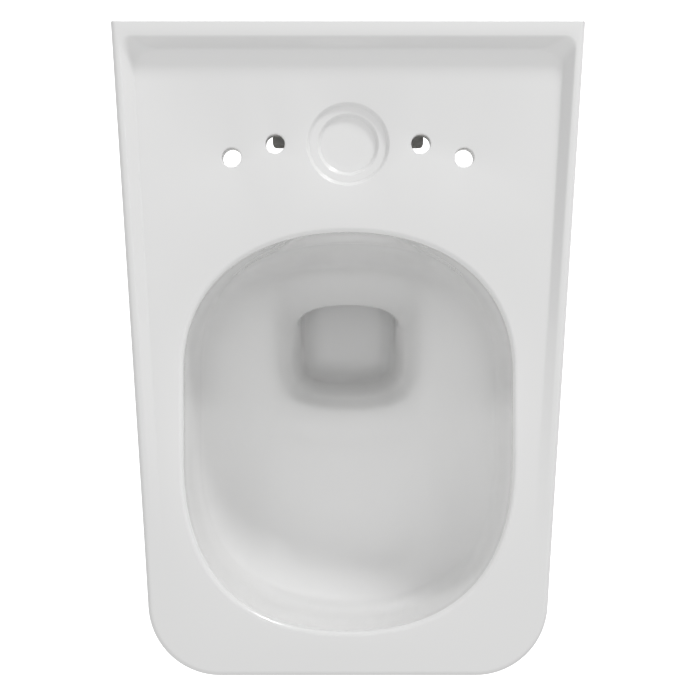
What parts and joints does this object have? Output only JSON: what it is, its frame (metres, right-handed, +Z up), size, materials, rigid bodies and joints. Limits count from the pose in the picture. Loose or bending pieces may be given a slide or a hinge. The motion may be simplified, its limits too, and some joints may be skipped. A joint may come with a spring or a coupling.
{
  "type": "wall hung toilet",
  "caption": "Wall hung toilet pan with a tapered plan, raised lip along the rear and sides, deep rear sump and hidden wall fixings.",
  "frame": {"origin": "on the wall plane, midway between the two M12 fixing points", "axes": "+Z up, +Y into the wall, -Y towards the front of the pan, +X to the right seen from the front"},
  "size_m": [0.37, 0.512, 0.341],
  "materials": {
    "glazed_china": "high gloss white glaze",
    "black_rubber": "matte",
    "grey_plastic": "satin",
    "white_nylon": "satin",
    "zinc_steel": "bright zinc plated"
  },
  "bodies": {
    "root": {"pan_deck": "glazed_china", "pan_bowl": "glazed_china", "pan_skirt": "glazed_china", "pan_sump": "glazed_china", "pan_trap_pipe": "glazed_china", "pan_rear_web": "glazed_china", "pan_inlet_chamber": "glazed_china", "inlet_seal": "black_rubber", "flow_throttle": "grey_plastic", "wall_anchor_left": "zinc_steel", "anchor_liner_left": "white_nylon", "clamp_screw_left": "zinc_steel", "clamp_washer_left": "white_nylon", "wall_anchor_right": "zinc_steel", "anchor_liner_right": "white_nylon", "clamp_screw_right": "zinc_steel", "clamp_washer_right": "white_nylon"}
  },
  "joints": []
}
